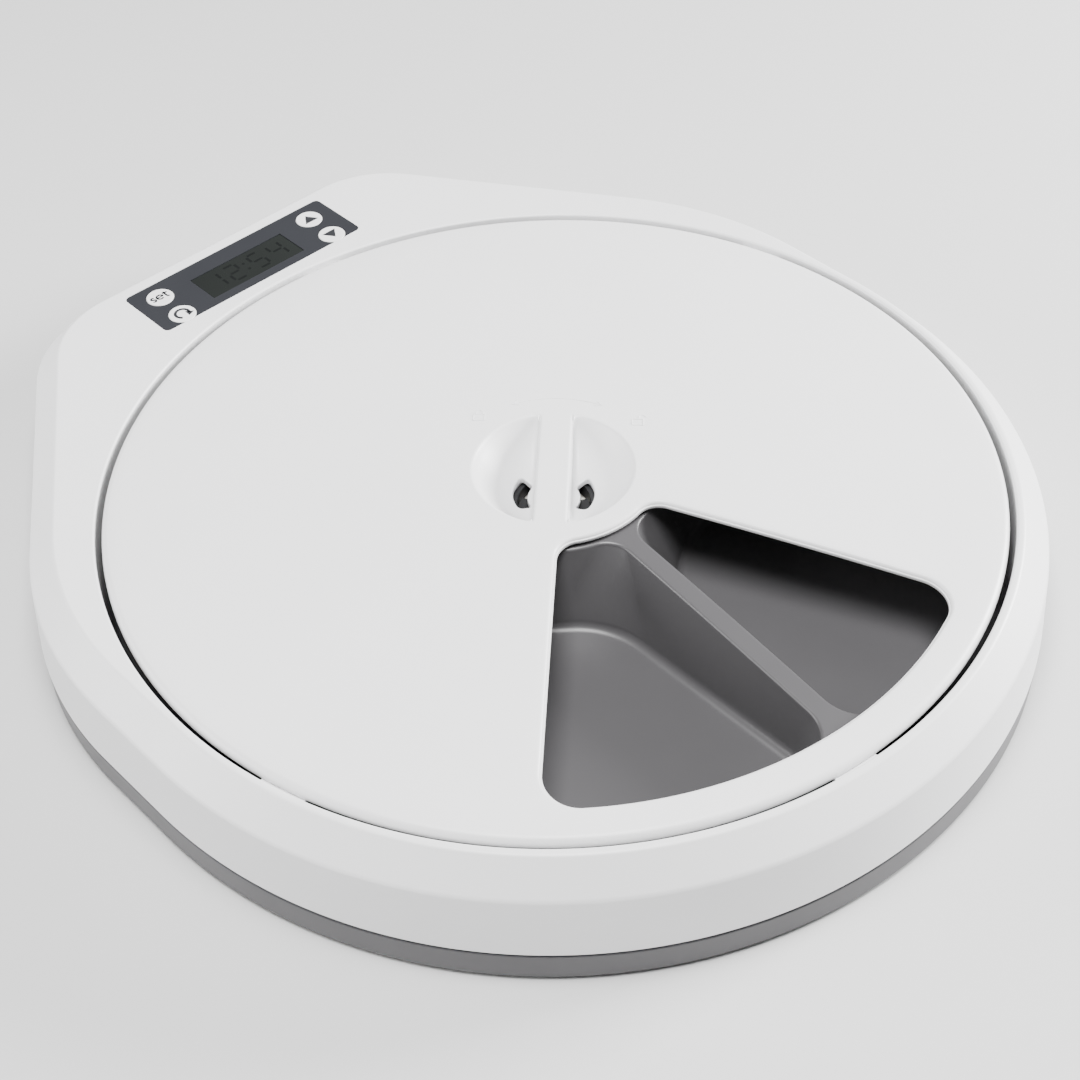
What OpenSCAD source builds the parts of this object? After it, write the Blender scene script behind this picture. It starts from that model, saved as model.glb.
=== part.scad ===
// Automatic pet feeder: a round five-compartment tray turns inside a white housing, under a
// lid with one wedge-shaped opening. A panel with a display and four buttons sits at the back.
// Origin: where the tray's axis meets the table. +Y points to the control panel, +Z up.

/* [Body] */
// Radius of the housing's front half, at its upper crease
body_r = 161.6; // [161:0.1:164]
// How far the skirt flares out between the crease and the seam
skirt_flare = 1.8; // [1:0.1:3]
// Width of the sloped band between the crease and the flat top
bevel_w = 9.2; // [8:0.1:9.2]
// Height of the flat top above the table
top_z = 45; // [45:0.5:47]
// Height of the crease above the table
crease_z = 35.5; // [35:0.5:38]
// Height of the upper housing's lower edge, just above the base
seam_z = 12.6; // [12:0.1:13]
// Height of the rubber feet
foot_h = 1.5; // [1.2:0.1:2]
// Distance from the tray's axis to the straight back edge
back_y = 196.4; // [196:0.1:199]
// Radius of the rounded back corners
back_corner_r = 45.7; // [44:0.1:47]
// Wall thickness of the housing and base
wall = 2.5; // [2.2:0.1:2.6]

/* [Lid] */
// Radius of the lid
lid_r = 148; // [147.5:0.1:148.5]
// How much higher the lid's middle is than its edge
dome_rise = 5; // [4:0.5:5]
// Thickness of the lid
lid_t = 2.6; // [2.6:0.1:3]
// Radius of the finger bowl in the lid's middle
bowl_r = 26.8; // [25:0.1:27]
// Width of the grip bar across the bowl
grip_w = 11; // [8:0.5:11]
// Direction that the grip bar points, from +X
grip_dir = 44; // [0:0.1:90]
// Direction of the middle of the lid's opening, from +X
opening_dir = -101.1; // [-130:0.1:-60]
// Half of the angle between the opening's two straight edges
opening_half = 35.5; // [30:0.1:36]

/* [Tray] */
// Number of food compartments
compartments = 5; // [5:1:5]
// Radius of the tray's rim
tray_r = 145.5; // [144:0.1:145.8]
// Gap between the tray's domed top and the lid's underside
tray_gap = 1.2; // [1:0.1:2]
// Height of the underside of the tray above the table
tray_bottom_z = 17.5; // [17:0.5:18]
// Direction of the divider nearest to the front, from +X
divider_dir = -95.3; // [-110:0.1:-80]

/* [Control panel] */
// Width of the panel overlay
panel_w = 90.5; // [88:0.5:91]
// Depth of the panel overlay, front to back
panel_d = 27; // [26:0.5:27]
// Distance from the tray's axis to the panel's middle
panel_y = 168.6; // [168.6:0.1:169]
// Width of the display window
window_w = 42; // [40:0.5:43]
// Depth of the display window, front to back
window_d = 15; // [14:0.5:15.5]
// Radius of the round buttons
button_r = 5.1; // [5:0.1:5.6]

/* [Drive] */
// Module of the gear teeth
gear_m = 0.5; // [0.5:0.1:0.5]
// Teeth on the motor pinion and on the reduction gear's small wheel
small_teeth = 10; // [10:1:10]
// Teeth on the reduction gear's large wheel
large_teeth = 32; // [30:1:32]
// Teeth on the drive hub
hub_teeth = 64; // [64:1:64]
// Direction of the reduction gear from the tray's axis
reduction_dir = 0; // [0:5:60]

/* [Hidden] */
$fn = 96;
eps = 0.05;

// Outline: a half circle in front, straight sides, slanted edges to the back corners
shoulder_r = 128;
shoulder_y = 30.3;
slant_dir = 34.1;
slant_reach = (body_r - shoulder_r) * cos(slant_dir) + shoulder_y * sin(slant_dir) + shoulder_r;
back_corner_x = (slant_reach - back_corner_r - (back_y - back_corner_r) * sin(slant_dir)) / cos(slant_dir);

// Upper housing
deck_under_z = top_z - wall;
lip_r = lid_r + 2;
lid_rim_z = top_z - lid_t - 0.6;
ledge_z = lid_rim_z - 0.2;
ledge_r = 147;
ledge_t = 2;
ledge_dirs = [-165, -98, 15, 82];
ledge_angle = 6;
well_out_r = lip_r + 2.2;
boss_r = 3.1;
boss_z = 9.1;
front_boss_top_z = crease_z - 5;
pilot_r = 1.35;

// Lower base
floor_z = foot_h + 2.5;
well_bottom_z = floor_z + 0.5;
base_grow = skirt_flare - 0.2;
seam_gap = 1;
band_top_z = seam_z - seam_gap;
tongue_top_z = seam_z + 3;
tongue_in = 1.4;
tongue_t = 1.2;
glide_r = 118;
glide_w = 2.5;
standoff_r = 3.1;
screw_head_r = 2.4;
screw_shank_r = 1.3;
screw_seat_z = floor_z + 0.8;
foot_r = 8;
foot_sunk = 0.8;
foot_places = [[0, 0], [95, -105], [-95, -105], [90, 130], [-90, 130]];
front_screw_dirs = [-150, -90, -30];
front_screws = [for (a = front_screw_dirs) polar(155.6, a)];
back_screws = [[122, 103], [-122, 103], [66, 180], [-66, 180]];

// Lid
lid_edge_r = 2.5;
bowl_depth = 15;
bowl_ball_r = (bowl_r * bowl_r + bowl_depth * bowl_depth) / (2 * bowl_depth);
bowl_ball_z = top_z + dome_rise - bowl_depth + bowl_ball_r;
bowl_wall = 2.5;
opening_out_r = 136.3;
collar_r = 34.6;
opening_inset = 3.2;
slot_in_r = 8.8;
slot_out_r = 13.6;
slot_angle = 70;
socket_in_r = 14.3;
socket_out_r = 16.2;
socket_z = 30;
key_w = 3;

// Lock between the lid and the centre post
post_r = 8.5;
post_foot_r = 9.4;
post_top_z = 32;
lug_half = 20;
lug_dir = grip_dir + 90;
ring_z = 29.5;

// Tray
pocket_out_r = 139.5;
pocket_in_r = 35.6;
divider_half_w = 3.6;
pocket_out_draft = 2.5;
pocket_in_draft = 8;
foot_turn = 5;
divider_foot_w = 11.6;
pocket_floor_z = tray_bottom_z + 2;
pocket_half = 180 / compartments;
hub_hollow_r = 29.5;
web_z = 26.5;
web_t = 2.5;
web_hole_r = 15.2;
dog_w = 4.6;
magnet_r = 2;
magnet_ring_r = 44;

// Drive
case_r = 28.8;
case_z = floor_z + 0.1;
case_floor_t = 1.4;
case_top_z = 24.2;
cover_z = 24.3;
cover_t = 1.3;
cover_boss_r = 2.4;
cover_screw_places = [for (a = [110, 200, 290]) polar(25.2, reduction_dir + a)];
motor_r = 7.4;
motor_top_z = 17;
shaft_r = 0.75;
axle_r = 1;
large_wheel_z = 18.1;
hub_gear_z = 20.7;
hub_gear_t = 3;
hub_neck_r = 14.9;
hub_top_z = 29;
reduction_distance = gear_m * (small_teeth + hub_teeth) / 2;
pinion_distance = gear_m * (small_teeth + large_teeth) / 2;
pinion_turn = 2 * asin(pinion_distance / 2 / reduction_distance);
reduction_at = polar(reduction_distance, reduction_dir);
pinion_at = polar(reduction_distance, reduction_dir + pinion_turn);
pinion_dir = reduction_dir + 90 + pinion_turn / 2;

// Batteries and electronics
cell_r = 7.1;
cell_l = 50.4;
cell_x = 1.9;
cell_z = floor_z + 7.7;
cell_pitch = 16;
battery_y = 171.6;
battery_w = 108;
battery_d = 32.4;
box_t = 1.5;
box_top_z = cell_z + 9.7;
board_z = 32;
board_t = 1.6;
board_w = 100;
board_d = 32;
board_screw_x = 46;
board_screw_dy = 12;
overlay_t = 0.6;
button_x = 35;
button_dy = 7;
button_y = 166.8;
button_proud = 0.1;

function polar(r, a) = r * [cos(a), sin(a)];
// An arc with both of its ends, and one without its last end for where the next arc carries on
function arc(c, r, a0, a1, n) = [for (i = [0:n]) c + polar(r, a0 + (a1 - a0) * i / n)];
function arc_part(c, r, a0, a1, n) = [for (i = [0:n - 1]) c + polar(r, a0 + (a1 - a0) * i / n)];

// The body's outline, grown outwards by g
function footprint(g) = concat(
    arc([0, 0], body_r + g, -180, 0, 72),
    arc([body_r - shoulder_r, shoulder_y], shoulder_r + g, 0, slant_dir, 8),
    arc([back_corner_x, back_y - back_corner_r], back_corner_r + g, slant_dir, 90, 8),
    arc([-back_corner_x, back_y - back_corner_r], back_corner_r + g, 90, 180 - slant_dir, 8),
    arc([shoulder_r - body_r, shoulder_y], shoulder_r + g, 180 - slant_dir, 180, 8));

// A wedge with rounded corners about +X, its inner end hollowed by a circle about the axis
function wedge(ro, ri, half, side, co, ci) =
    let (b = half - asin((side + co) / (ro - co)), g = half - asin((side + ci) / (ri + ci)))
    concat(
        arc_part([0, 0], ro, 0, b, 8),
        arc(polar(ro - co, b), co, b, half + 90, 6),
        arc_part(polar(ri + ci, g), ci, half + 90, 180 + g, 6),
        arc_part([0, 0], ri, g, -g, 8),
        arc(polar(ri + ci, -g), ci, 180 - g, 270 - half, 6),
        arc_part(polar(ro - co, -b), co, -half - 90, -b, 6),
        arc_part([0, 0], ro, -b, 0, 8));

function at_height(outline, z) = [for (p = outline) [p[0], p[1], z]];

// Closed solid through rings of points, from the lowest ring to the highest
module loft(rings) {
    n = len(rings[0]);
    last = len(rings) - 1;
    points = [for (ring = rings) each ring];
    sides = [for (k = [0:last - 1]) for (i = [0:n - 1])
        let (a = k * n + i, b = k * n + (i + 1) % n) each [[a, a + n, b + n], [a, b + n, b]]];
    caps = [for (i = [1:n - 2]) each [[0, i, i + 1], [last * n, last * n + i + 1, last * n + i]]];
    polyhedron(points, concat(sides, caps));
}

// Plain round and plate shapes, each from height z0 to z1
module disc(r, z0, z1) {
    translate([0, 0, z0]) cylinder(r = r, h = z1 - z0);
}

module tube(r0, r1, z0, z1) {
    difference() {
        disc(r1, z0, z1);
        disc(r0, z0 - 1, z1 + 1);
    }
}

module block(w, d, z0, z1) {
    translate([-w / 2, -d / 2, z0]) cube([w, d, z1 - z0]);
}

module round_plate(w, d, r, z0, z1) {
    block(w - 2 * r, d, z0, z1);
    block(w, d - 2 * r, z0, z1);
    for (x = [-1, 1], y = [-1, 1])
        translate([x * (w / 2 - r), y * (d / 2 - r), 0]) disc(r, z0, z1);
}

module at_each(places) {
    for (p = places) translate([p[0], p[1], 0]) children();
}

module around(n, start = 0) {
    for (k = [0:n - 1]) rotate(start + k * 360 / n) children();
}

// Part of a ring, from radius r0 to r1 and from angle a to a + sweep
module ring_part(r0, r1, z0, z1, a, sweep) {
    rotate(a) rotate_extrude(angle = sweep) translate([r0, z0]) square([r1 - r0, z1 - z0]);
}

// Pan-head screw that points up, with its head's underside at height z
module screw_up(head_r, head_h, shank_r, z, shank_l) {
    difference() {
        disc(head_r, z - head_h, z + eps);
        block(head_r * 1.2, 0.6, z - head_h - 1, z - head_h / 2);
        block(0.6, head_r * 1.2, z - head_h - 1, z - head_h / 2);
    }
    disc(shank_r, z, z + shank_l);
}

// Involute gear outline, with a tooth about +X
pressure = 20;
tooth_thinning = 0.07;
function involute_turn(r, base) = tan(acos(base / r)) * 180 / PI - acos(base / r);
function gear_outline(teeth) =
    let (
        pitch = gear_m * teeth / 2,
        base = pitch * cos(pressure),
        root = pitch - 1.25 * gear_m,
        tip = pitch + 0.9 * gear_m,
        start = max(root, base),
        flank = [for (i = [0:3]) start + (tip - start) * i / 3],
        half = 90 / teeth - tooth_thinning / pitch * 180 / PI + involute_turn(pitch, base),
        turns = [for (r = flank) half - involute_turn(r, base)],
        foot = root < base ? [root] : [],
        rise = concat(foot, flank),
        spread = concat([for (r = foot) turns[0]], turns),
        last = len(rise) - 1
    )
    [for (t = [0:teeth - 1]) let (mid = t * 360 / teeth) each concat(
        [for (i = [0:last]) polar(rise[i], mid - spread[i])],
        [for (i = [last:-1:0]) polar(rise[i], mid + spread[i])])];

module gear(teeth, z0, z1) {
    translate([0, 0, z0]) linear_extrude(z1 - z0) polygon(gear_outline(teeth));
}

// Upper housing: skirt, bevel and flat deck, with the round well that the tray turns in
module housing_shell() {
    difference() {
        loft([at_height(footprint(skirt_flare), seam_z), at_height(footprint(0), crease_z),
            at_height(footprint(-bevel_w), top_z)]);
        loft([at_height(footprint(skirt_flare - wall - 0.1), seam_z - 1),
            at_height(footprint(-wall - 0.1), crease_z - 0.8),
            at_height(footprint(-bevel_w - wall + 0.3), deck_under_z)]);
    }
}

// Four tabs in the well that the lid's edge rests on
module lid_tabs() {
    for (a = ledge_dirs)
        ring_part(ledge_r, lip_r + 0.5, ledge_z - ledge_t, ledge_z, a - ledge_angle / 2, ledge_angle);
}

module housing_bosses() {
    at_each(front_screws) disc(boss_r, boss_z, front_boss_top_z);
    for (a = front_screw_dirs)
        rotate(a) translate([well_out_r - 1, -1, seam_z + 4]) cube([9, 2, front_boss_top_z - seam_z - 5]);
    at_each(back_screws) disc(boss_r, boss_z, deck_under_z + 1);
}

module board_posts() {
    for (x = [-1, 1], y = [-1, 1])
        translate([x * board_screw_x, panel_y + y * board_screw_dy, 0])
            disc(2.8, board_z + board_t + 0.1, deck_under_z + 0.5);
}

module upper_housing() {
    color("whitesmoke") difference() {
        union() {
            difference() {
                union() {
                    housing_shell();
                    disc(well_out_r, well_bottom_z, top_z - 1.5);
                }
                disc(lip_r, well_bottom_z - 1, top_z + 1);
            }
            lid_tabs();
            housing_bosses();
            board_posts();
        }
        at_each(concat(front_screws, back_screws)) disc(pilot_r, boss_z - 1, 24);
        for (x = [-1, 1], y = [-1, 1])
            translate([x * board_screw_x, panel_y + y * board_screw_dy, 0]) disc(1.05, board_z, 40);
        translate([0, panel_y, 0])
            round_plate(panel_w + 0.2, panel_d + 0.2, 2.1, top_z - overlay_t, top_z + 1);
        translate([0, panel_y - 1.9, 0]) block(window_w + 0.4, window_d + 0.4, 30, top_z + 1);
        for (x = [-1, 1], y = [-1, 1])
            translate([x * button_x, button_y + y * button_dy, 0]) disc(button_r + 0.25, 41, top_z + 1);
        translate([0, lip_r, 0]) block(8, 10, well_bottom_z - 1, well_bottom_z + 2.2);
    }
}

// Lower base: floor, side band and the tongue that locates the upper housing
module lower_base() {
    color("gray") difference() {
        union() {
            translate([0, 0, foot_h]) linear_extrude(floor_z - foot_h) polygon(footprint(base_grow));
            difference() {
                translate([0, 0, foot_h])
                    linear_extrude(band_top_z - foot_h) polygon(footprint(base_grow));
                translate([0, 0, foot_h - 1])
                    linear_extrude(seam_z) polygon(footprint(base_grow - wall));
            }
            difference() {
                union() {
                    translate([0, 0, band_top_z - 2]) linear_extrude(2) polygon(footprint(0));
                    translate([0, 0, band_top_z - 2])
                        linear_extrude(tongue_top_z - band_top_z + 2) polygon(footprint(-tongue_in));
                }
                translate([0, 0, band_top_z - 3])
                    linear_extrude(8) polygon(footprint(-tongue_in - tongue_t));
            }
            at_each(concat(front_screws, back_screws)) disc(standoff_r, floor_z - 1, boss_z - 0.1);
            tube(glide_r, glide_r + glide_w, floor_z - 1, tray_bottom_z - 0.4);
        }
        at_each(concat(front_screws, back_screws)) {
            disc(screw_head_r + 0.1, foot_h - 1, screw_seat_z);
            disc(screw_shank_r + 0.2, foot_h - 1, boss_z + 1);
        }
        at_each(foot_places) disc(foot_r + 0.1, foot_h - 1, foot_h + foot_sunk);
        disc(3.1, foot_h - 1, floor_z - 0.8);
        disc(1.7, foot_h - 1, floor_z + 1);
        translate([0, battery_y, 0]) {
            block(battery_w + 4.6, battery_d + 4.2, foot_h - 1, floor_z - 0.4);
            block(battery_w, battery_d, foot_h - 1, floor_z + 1);
        }
        translate([0, glide_r, 0]) block(8, 10, floor_z + eps, tray_bottom_z);
    }
}

module rubber_feet() {
    color("dimgray") at_each(foot_places) disc(foot_r, 0, foot_h + foot_sunk - 0.05);
}

module housing_screws() {
    color("silver") at_each(concat(front_screws, back_screws))
        screw_up(screw_head_r, 1.6, screw_shank_r, screw_seat_z - 2 * eps, 12);
}

// Batteries: four cells in a box over an opening in the base, closed from below by a door
module battery_box() {
    color("dimgray") translate([0, battery_y, 0]) difference() {
        block(battery_w + 2 * box_t, battery_d + 2 * box_t, floor_z + 0.1, box_top_z);
        block(battery_w, battery_d, floor_z - 1, box_top_z - box_t);
    }
}

module battery_cells() {
    color("darkgreen") for (x = [-1, 1], y = [-1, 1])
        translate([x * cell_x, battery_y + y * cell_pitch / 2, cell_z]) rotate([0, x * 90, 0]) {
            disc(cell_r, y == x ? 0 : 1.2, y == x ? cell_l - 1.2 : cell_l);
            disc(2.7, 0, cell_l);
        }
}

module battery_contacts() {
    color("silver") translate([0, battery_y, 0]) {
        for (x = [-1, 1])
            translate([x * (battery_w / 2 - 0.4), 0, 0]) block(0.5, 26, cell_z - 5.4, cell_z + 5.6);
        for (y = [-1, 1])
            translate([0, y * cell_pitch / 2, 0]) block(0.5, 10, cell_z - 5.4, cell_z + 5.6);
        for (x = [-1, 1], y = [-1, 1])
            translate([x * 53.4, y * cell_pitch / 2, cell_z]) rotate([0, -x * 90, 0])
                cylinder(r1 = 3.5, r2 = 2, h = 1);
    }
}

module battery_door() {
    color("gray") translate([0, battery_y, 0]) difference() {
        block(battery_w + 4.2, battery_d + 3.8, foot_h, foot_h + 2);
        for (k = [-2:2]) translate([k * 4, -battery_d / 2 + 4, 0]) block(1.6, 5, foot_h - 1, foot_h + 0.8);
    }
}

// Gearbox: a cup on the base's floor inside the tray's hollow hub, with its cover
module gearbox_case() {
    color("dimgray") difference() {
        union() {
            disc(case_r, case_z, case_z + case_floor_t);
            tube(case_r - box_t, case_r, case_z, case_top_z);
            at_each([pinion_at]) tube(motor_r + 0.2, motor_r + 1.1, case_z + eps, case_z + 5);
            at_each(cover_screw_places) disc(cover_boss_r, case_z + eps, case_top_z);
        }
        disc(1.7, case_z - 1, case_z + 3);
        at_each([reduction_at]) disc(axle_r + 0.03, case_z + 0.4, case_z + 3);
        at_each(cover_screw_places) disc(1.05, 12, case_top_z + 1);
        translate([0, case_r, 0]) block(8, 6, case_z + case_floor_t, case_z + 4);
    }
}

module gearbox_cover() {
    color("dimgray") difference() {
        tube(hub_neck_r + 0.4, case_r, cover_z, cover_z + cover_t);
        at_each(cover_screw_places) {
            disc(1.2, cover_z - 1, cover_z + 2);
            disc(2.1, cover_z + 0.5, cover_z + 2);
        }
        at_each([reduction_at]) disc(axle_r + 0.03, cover_z - 1, cover_z + 0.8);
    }
}

module gearbox_screws() {
    color("silver") at_each(cover_screw_places)
        mirror([0, 0, 1]) screw_up(2, 0.7, 1, -(cover_z + 0.55), 10);
}

module centre_post() {
    color("darkgray") difference() {
        union() {
            disc(post_foot_r, case_z + case_floor_t + 0.05, hub_gear_z - 0.2);
            disc(post_r, case_z + case_floor_t + 0.05, post_top_z);
            for (side = [0, 180])
                ring_part(post_r - 0.5, 11.8, ring_z + 1.2, post_top_z, lug_dir + side - lug_half, 2 * lug_half);
        }
        disc(pilot_r, case_z, 22);
        disc(5.5, 24, post_top_z + 1);
    }
}

module post_screw() {
    color("silver") screw_up(2.9, 0.85, screw_shank_r, floor_z - 0.85, 14);
}

// Drive: motor, pinion, reduction gear and the hub gear that carries the tray
module drive_motor() {
    color("silver") at_each([pinion_at]) difference() {
        union() {
            disc(motor_r, case_z + case_floor_t + 0.1, motor_top_z);
            disc(2.5, motor_top_z - 1, motor_top_z + 0.6);
        }
        disc(shaft_r + 0.05, 12, motor_top_z + 1);
    }
}

module motor_shaft() {
    color("lightgray") at_each([pinion_at]) disc(shaft_r, 12.5, large_wheel_z + 2.4);
}

module motor_pinion() {
    color("ivory") at_each([pinion_at]) difference() {
        rotate(pinion_dir + 180 / small_teeth + 180) gear(small_teeth, large_wheel_z - 0.2, large_wheel_z + 2.2);
        disc(shaft_r + 0.02, motor_top_z, large_wheel_z + 3);
    }
}

module reduction_axle() {
    color("lightgray") at_each([reduction_at]) disc(axle_r, case_z + 0.5, cover_z + 0.7);
}

module reduction_gear() {
    color("ivory") at_each([reduction_at]) difference() {
        union() {
            rotate(pinion_dir) gear(large_teeth, large_wheel_z, large_wheel_z + 2);
            rotate(reduction_dir + 180 + 180 / small_teeth) gear(small_teeth, large_wheel_z + 1, cover_z - 0.3);
        }
        disc(axle_r + 0.05, large_wheel_z - 1, cover_z);
    }
}

module drive_hub() {
    color("ivory") difference() {
        union() {
            rotate(reduction_dir) gear(hub_teeth, hub_gear_z, hub_gear_z + hub_gear_t);
            disc(hub_neck_r, hub_gear_z + 1, hub_top_z);
            disc(18, cover_z + cover_t + 0.2, web_z - 0.1);
            around(3, divider_dir) translate([hub_neck_r - 1, -dog_w / 2, web_z + 0.3])
                cube([4.5, dog_w, web_t - 0.5]);
        }
        disc(post_r + 0.05, hub_gear_z - 1, hub_top_z + 1);
    }
}

// Tray: five deep compartments round a hollow hub, under a top that follows the lid's dome
function tray_top(r) = dome(r) - lid_t - tray_gap;

// Outline of a pocket, drawn in by d, at a share t of the way down to its rounder foot
function pocket_outline(d, t) = wedge(
    pocket_out_r - d - pocket_out_draft * t, pocket_in_r + d + pocket_in_draft * t,
    pocket_half + foot_turn * t, divider_half_w + d + divider_foot_w * t, 14 - d, 9 + 22 * t - d);

module pocket() {
    roll = 1.2;
    fillet = 3.5;
    foot = [for (a = [90, 60, 30, 0]) at_height(
        pocket_outline(fillet * (1 - cos(a)), 1), pocket_floor_z + fillet * (1 - sin(a)))];
    edge = [for (a = [0, 45, 90]) [for (p = pocket_outline(roll * (cos(a) - 1), 0))
        [p[0], p[1], tray_top(norm(p)) - roll * (1 - sin(a)) + eps]]];
    loft(concat(foot, edge, [at_height(pocket_outline(-roll, 0), top_z + dome_rise)]));
}

module divider_hollow() {
    rotate([90, 0, 90]) translate([0, 0, 50]) linear_extrude(82)
        polygon([[-4, tray_bottom_z - 1], [4, tray_bottom_z - 1], [1.6, 39], [-1.6, 39]]);
}

module food_tray() {
    rim_z = tray_top(tray_r);
    top_steps = 10;
    top_in = hub_hollow_r + 1;
    top_out = tray_r - 0.8;
    color("gray") difference() {
        rotate_extrude() polygon(concat(
            [[web_hole_r, web_z], [hub_hollow_r, web_z], [hub_hollow_r, tray_bottom_z],
                [137, tray_bottom_z], [138, tray_bottom_z + 1.5], [141.3, rim_z - 2.5],
                [top_out, rim_z - 2.5], [tray_r, rim_z - 1.7], [tray_r, rim_z - 0.8]],
            [for (i = [0:top_steps])
                let (r = top_out - (top_out - top_in) * i / top_steps) [r, tray_top(r)]],
            [[hub_hollow_r, tray_top(top_in) - 1], [hub_hollow_r, web_z + web_t],
                [web_hole_r, web_z + web_t]]));
        around(compartments, divider_dir + pocket_half) pocket();
        around(compartments, divider_dir) {
            divider_hollow();
            translate([magnet_ring_r, 0, 0]) disc(magnet_r + 0.05, tray_bottom_z - 1, tray_bottom_z + 2.1);
        }
        around(3, divider_dir) translate([web_hole_r - 1, -dog_w / 2 - 0.2, web_z - 1])
            cube([4.6, dog_w + 0.4, web_t + 2]);
    }
}

module index_magnets() {
    color("dimgray") around(compartments, divider_dir)
        translate([magnet_ring_r, 0, 0]) disc(magnet_r, tray_bottom_z + 0.1, tray_bottom_z + 2);
}

module index_sensor() {
    color("seagreen") at_each([polar(magnet_ring_r, 79)]) {
        block(10, 8, floor_z + 0.1, floor_z + 1.3);
        block(4, 3, floor_z + 1.2, tray_bottom_z - 1.5);
    }
}

// Lid: a shallow dome with a finger bowl, a grip bar and one wedge-shaped opening
function dome(r) = top_z + dome_rise * (1 - pow(r / lid_r, 2));
function bowl_z(r, ball_r) = bowl_ball_z - sqrt(ball_r * ball_r - r * r);

module lid_disc() {
    bowl_steps = 12;
    dome_steps = 14;
    edge_in = lid_r - lid_edge_r;
    rim_in = bowl_r + 1.3;
    under_in = bowl_r + 1.2;
    rotate_extrude() polygon(concat(
        [for (i = [0:bowl_steps]) let (r = bowl_r * i / bowl_steps) [r, bowl_z(r, bowl_ball_r)]],
        [for (i = [0:dome_steps]) let (r = rim_in + (edge_in - rim_in) * i / dome_steps) [r, dome(r)]],
        arc([edge_in, dome(edge_in) - lid_edge_r], lid_edge_r, 60, 0, 4),
        [[lid_r, lid_rim_z], [lid_r - 2, lid_rim_z]],
        [for (i = [dome_steps:-1:0])
            let (r = under_in + (edge_in - under_in) * i / dome_steps) [r, dome(r) - lid_t]],
        [for (i = [bowl_steps:-1:0]) let (r = bowl_r * i / bowl_steps)
            [r, bowl_z(r, bowl_ball_r + bowl_wall)]]));
}

module grip_bar() {
    steps = 8;
    end = bowl_r + 0.5;
    intersection() {
        rotate_extrude() polygon(concat(
            [for (i = [0:steps]) let (r = bowl_r * i / steps) [r, bowl_z(r, bowl_ball_r) - 1.2]],
            [for (i = [steps:-1:0]) let (r = end * i / steps) [r, dome(r)]]));
        rotate([90, 0, grip_dir + 90]) translate([0, 0, -40]) linear_extrude(80) polygon([
            [-grip_w / 2 - 0.7, 30], [grip_w / 2 + 0.7, 30],
            [grip_w / 2, top_z + dome_rise + 1], [-grip_w / 2, top_z + dome_rise + 1]]);
    }
}

module lid() {
    color("whitesmoke") difference() {
        union() {
            lid_disc();
            grip_bar();
            tube(socket_in_r, socket_out_r, socket_z, 37.3);
        }
        rotate(opening_dir) translate([0, 0, top_z - 10]) linear_extrude(30)
            polygon(wedge(opening_out_r, collar_r, opening_half, opening_inset, 11, 8));
        for (side = [0, 180])
            ring_part(slot_in_r, slot_out_r, socket_z, 43, lug_dir + side - slot_angle / 2, slot_angle);
        rotate(grip_dir) block(2 * socket_out_r + 4, key_w + 0.4, socket_z - 1, 34);
    }
}

// Ring in the lid's socket: its two lugs hook under the centre post's lugs
module lock_ring() {
    color("darkgray") {
        tube(12.3, 14.1, ring_z, 34.3);
        for (side = [0, 180]) {
            ring_part(8.8, 12.6, ring_z, ring_z + 0.9, lug_dir + side - lug_half, 2 * lug_half);
            rotate(grip_dir + side) translate([13.8, -key_w / 2, 31]) cube([1.8, key_w, 2.5]);
        }
    }
}

// Control panel
module panel_overlay() {
    color("darkslategray") translate([0, panel_y, 0]) difference() {
        round_plate(panel_w, panel_d, 2, top_z - overlay_t + 0.02, top_z);
        translate([0, -1.9, 0]) block(window_w + 0.2, window_d + 0.2, 40, top_z + 1);
        for (x = [-1, 1], y = [-1, 1])
            translate([x * button_x, button_y - panel_y + y * button_dy, 0])
                disc(button_r + 0.25, 40, top_z + 1);
    }
}

module lcd_window() {
    color("black", 0.6) translate([0, panel_y - 1.9, 0]) {
        block(window_w, window_d, deck_under_z - 0.2, top_z - 0.1);
        block(window_w + 4, window_d + 4, deck_under_z - 0.9, deck_under_z - 0.1);
    }
}

module lcd_module() {
    color("black") translate([0, panel_y - 1.9, 0])
        block(window_w + 4, window_d + 4, board_z + board_t + 5.1, deck_under_z - 1.1);
}

module lcd_holder() {
    color("white") translate([0, panel_y - 1.9, 0]) difference() {
        block(window_w + 2, window_d + 2, board_z + board_t + 0.1, board_z + board_t + 5);
        block(window_w - 2, window_d - 2, board_z + board_t + 1, board_z + board_t + 4);
    }
}

module control_board() {
    color("seagreen") translate([0, panel_y, 0]) difference() {
        block(board_w, board_d, board_z, board_z + board_t);
        for (x = [-1, 1], y = [-1, 1])
            translate([x * board_screw_x, y * board_screw_dy, 0]) disc(1.2, board_z - 1, board_z + 3);
    }
}

module board_screws() {
    color("silver") for (x = [-1, 1], y = [-1, 1])
        translate([x * board_screw_x, panel_y + y * board_screw_dy, 0])
            screw_up(2, 1.2, 1, board_z - 0.05, 7);
}

module tact_switches() {
    color("dimgray") for (x = [-1, 1], y = [-1, 1])
        translate([x * button_x, button_y + y * button_dy, 0]) {
            block(6, 6, board_z + board_t + 0.05, board_z + board_t + 3.5);
            disc(1.75, board_z + board_t + 3, board_z + board_t + 4);
        }
}

module ribbon_cable() {
    run_y = 152.5;
    color("lightgray") {
        translate([-3, case_r + 0.3, floor_z + 0.2]) cube([6, run_y + 1 - case_r - 0.3, 1]);
        translate([-3, run_y, floor_z + 0.2]) cube([6, 1, board_z - floor_z - 0.7]);
        translate([-3, run_y, board_z - 1.5]) cube([6, 6, 1]);
    }
}

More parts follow.
